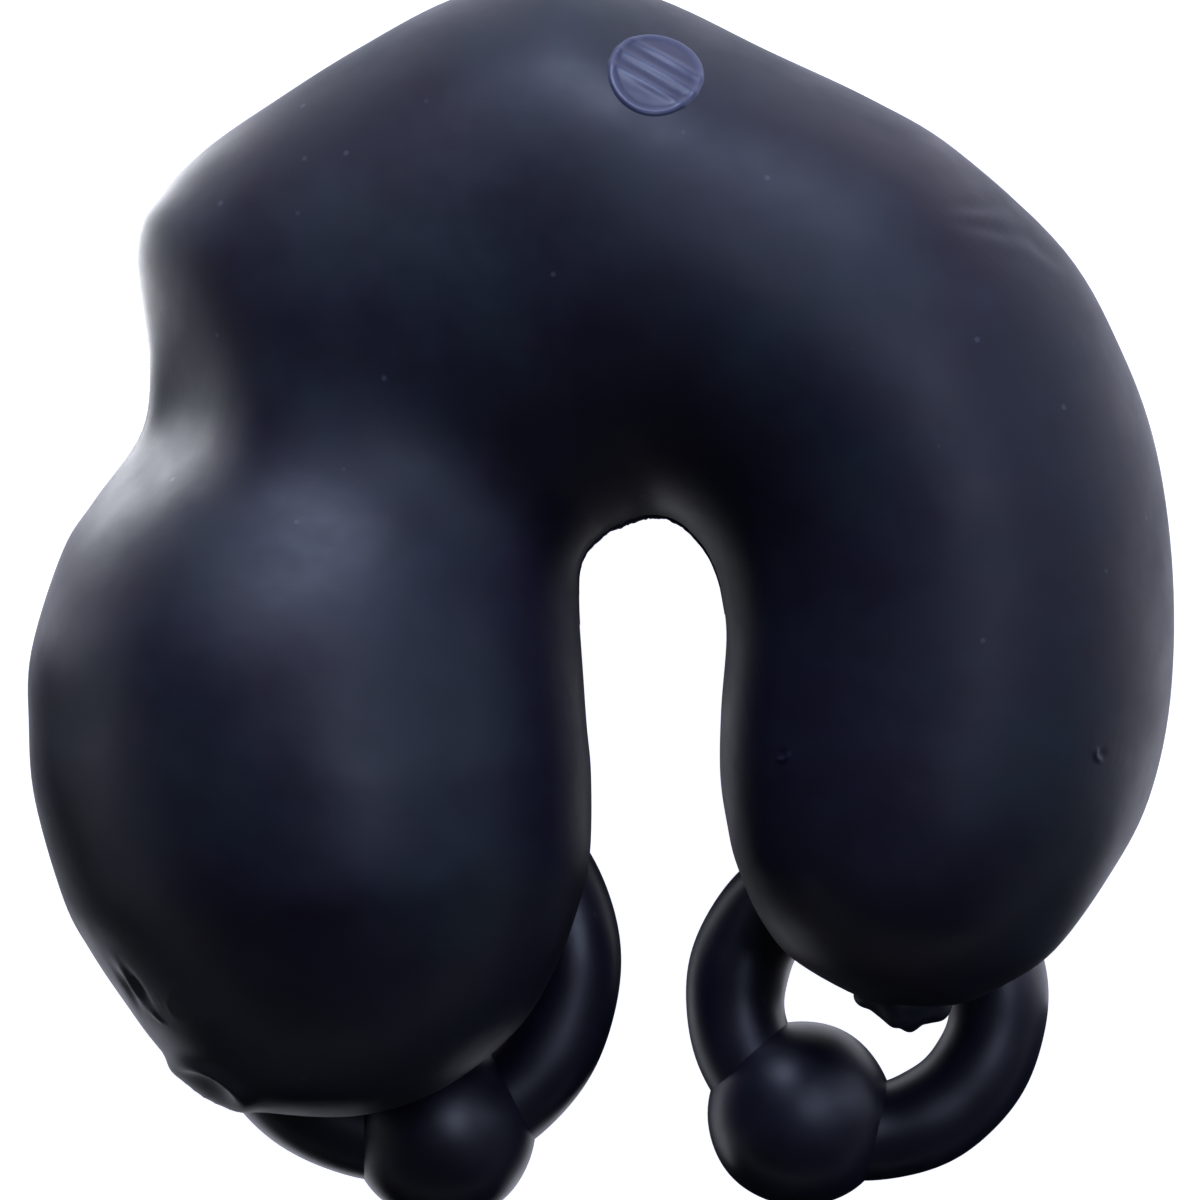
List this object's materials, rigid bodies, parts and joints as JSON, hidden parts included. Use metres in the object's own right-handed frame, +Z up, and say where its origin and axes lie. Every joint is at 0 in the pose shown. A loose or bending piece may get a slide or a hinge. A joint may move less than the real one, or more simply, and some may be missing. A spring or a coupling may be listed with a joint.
{
  "type": "hand massager",
  "caption": "U-shaped soft silicone hand massager with a ball-like weighted lobe, a slimmer weighted arm and a bead-closed ring pull under each end.",
  "frame": {"origin": "on the surface that the massager lies on, under the middle of its outline", "axes": "+X to the right from the large lobe to the arm, +Y from the lobe ends to the arch, +Z up out of the face that shows when it lies on its back"},
  "size_m": [0.1294, 0.1424, 0.063],
  "materials": {
    "silicone": "satin moulded silicone, blue-black",
    "ring_silicone": "satin moulded silicone, blue-black",
    "steel": "turned steel",
    "spring_steel": "drawn spring steel",
    "pod_plastic": "moulded ABS",
    "foam": "closed-cell foam",
    "nylon": "moulded nylon",
    "aluminium": "turned aluminium"
  },
  "bodies": {
    "lobe_side": {"lobe_front": "silicone", "lobe_back": "silicone", "grip_pad": "ring_silicone", "lobe_ring_liner": "nylon", "arch_spring": "spring_steel", "lobe_spring_socket": "aluminium", "lobe_pod_front": "pod_plastic", "lobe_pod_back": "pod_plastic", "lobe_cradle_front": "foam", "lobe_cradle_back": "foam", "lobe_weight": "steel", "lobe_pod_screw_1": "steel", "lobe_pod_screw_2": "steel", "lobe_pod_screw_3": "steel", "lobe_pod_screw_4": "steel"},
    "arm_side": {"arm_front": "silicone", "arm_back": "silicone", "arm_tip_plug": "nylon", "arm_ring_liner": "nylon", "arm_spring_socket": "aluminium", "arm_pod_front": "pod_plastic", "arm_pod_back": "pod_plastic", "arm_cradle_front": "foam", "arm_cradle_back": "foam", "arm_weight": "steel", "arm_pod_screw_1": "steel", "arm_pod_screw_2": "steel", "arm_pod_screw_3": "steel", "arm_pod_screw_4": "steel"},
    "lobe_pull": {"lobe_ring": "ring_silicone", "lobe_ring_wire": "spring_steel", "lobe_bead": "ring_silicone"},
    "arm_pull": {"arm_ring": "ring_silicone", "arm_ring_wire": "spring_steel", "arm_bead": "ring_silicone"}
  },
  "joints": [
    {"name": "arm_flex", "type": "hinge", "parent": "lobe_side", "child": "arm_side", "pos_m": [-0.00209, 0.03802, 0.03], "axis": [0, 0, 1], "range_deg": [-3, 12], "stiffness_Nm_per_rad": 6, "deforming": ["arch_spring"]},
    {"name": "lobe_ring_turn", "type": "hinge", "parent": "lobe_side", "child": "lobe_pull", "pos_m": [-0.02279, -0.04178, 0.0109], "axis": [0, 0, 1], "range_deg": [-25, 30]},
    {"name": "arm_ring_turn", "type": "hinge", "parent": "arm_side", "child": "arm_pull", "pos_m": [0.03071, -0.04578, 0.0109], "axis": [0, 0, 1], "range_deg": [-38, 80]}
  ]
}
